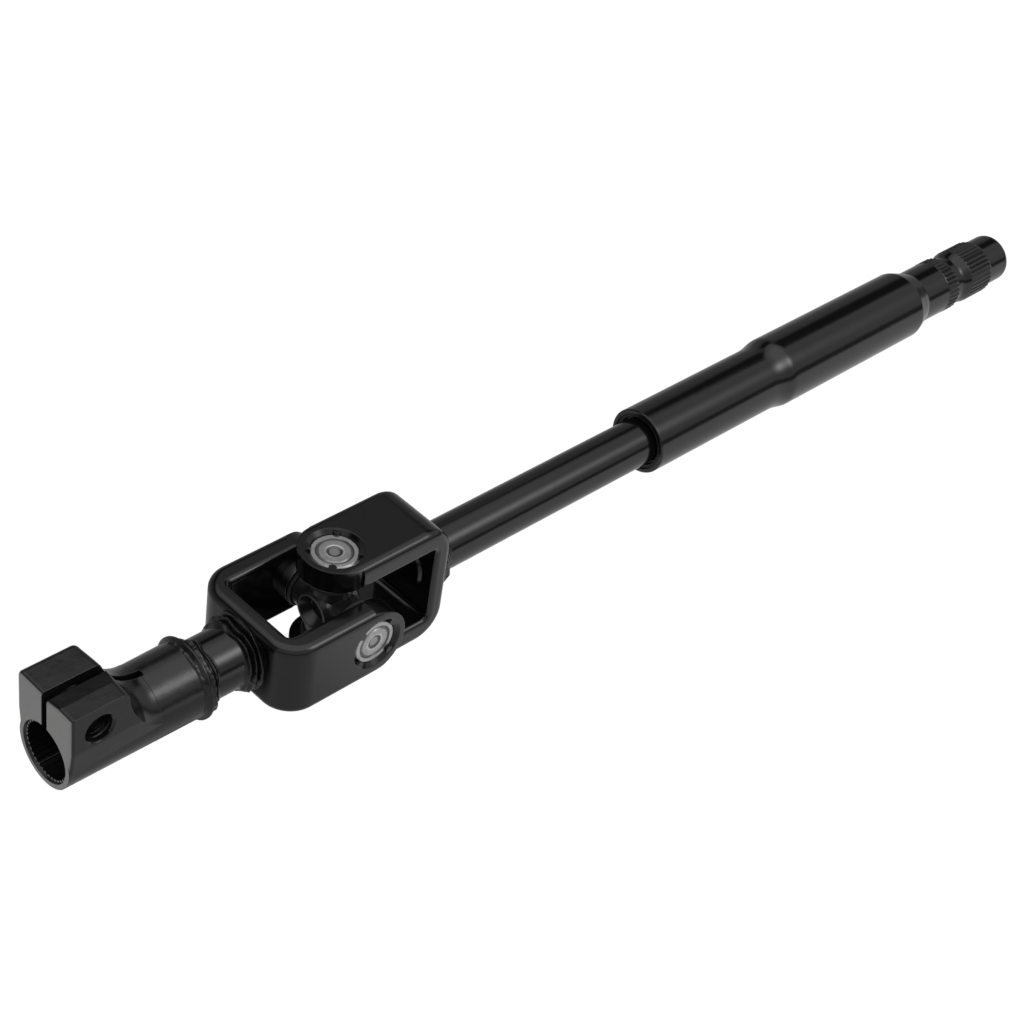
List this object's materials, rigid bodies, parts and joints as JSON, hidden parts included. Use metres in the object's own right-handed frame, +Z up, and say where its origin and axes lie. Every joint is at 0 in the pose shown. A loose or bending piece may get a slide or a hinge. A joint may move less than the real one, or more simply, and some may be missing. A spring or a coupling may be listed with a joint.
{
  "type": "steering column shaft",
  "caption": "Steering column shaft with a splined pinch clamp, a universal joint and a telescopic shaft that ends in serrations and a pilot.",
  "frame": {"origin": "centre of the pinch clamp's bore, in the plane of its pinch bolt", "axes": "+X along the shaft towards the column end, +Z up through the clamp's ears, -Y the side of the tapped ear"},
  "size_m": [0.4317, 0.043, 0.043],
  "materials": {
    "gloss_black": "gloss",
    "satin_black": "satin",
    "weld_black": "rough gloss",
    "bare_steel": "satin",
    "dark_steel": "satin",
    "needle_steel": "polished",
    "spring_steel": "satin",
    "seal_rubber": "matte",
    "nylon": "matte"
  },
  "bodies": {
    "lower_half": {"pinion_clamp": "satin_black", "clamp_weld": "weld_black", "stub_shaft": "gloss_black", "lower_yoke_weld": "weld_black", "lower_yoke": "gloss_black", "cup_front": "bare_steel", "cup_back": "bare_steel", "needles_front": "needle_steel", "needles_back": "needle_steel", "thrust_pad_front": "nylon", "thrust_pad_back": "nylon"},
    "cross": {"spider": "dark_steel", "seal_front": "seal_rubber", "seal_back": "seal_rubber", "seal_top": "seal_rubber", "seal_bottom": "seal_rubber"},
    "upper_shaft": {"upper_yoke": "gloss_black", "upper_yoke_weld": "weld_black", "inner_shaft": "gloss_black", "slip_sleeve": "nylon", "sleeve_clip": "spring_steel", "cup_top": "bare_steel", "cup_bottom": "bare_steel", "needles_top": "needle_steel", "needles_bottom": "needle_steel", "thrust_pad_top": "nylon", "thrust_pad_bottom": "nylon"},
    "column_shaft": {"outer_tube": "gloss_black", "mouth_bush": "nylon", "mouth_wiper": "seal_rubber", "column_stub": "gloss_black"}
  },
  "joints": [
    {"name": "cross_swing", "type": "hinge", "parent": "lower_half", "child": "cross", "pos_m": [0.0904, 0, 0], "axis": [0, 1, 0], "range_deg": [-30, 30]},
    {"name": "yoke_swing", "type": "hinge", "parent": "cross", "child": "upper_shaft", "pos_m": [0.0904, 0, 0], "axis": [0, 0, 1], "range_deg": [-30, 30]},
    {"name": "telescope", "type": "slide", "parent": "upper_shaft", "child": "column_shaft", "axis": [1, 0, 0], "range_m": [-0.05, 0.012]}
  ]
}
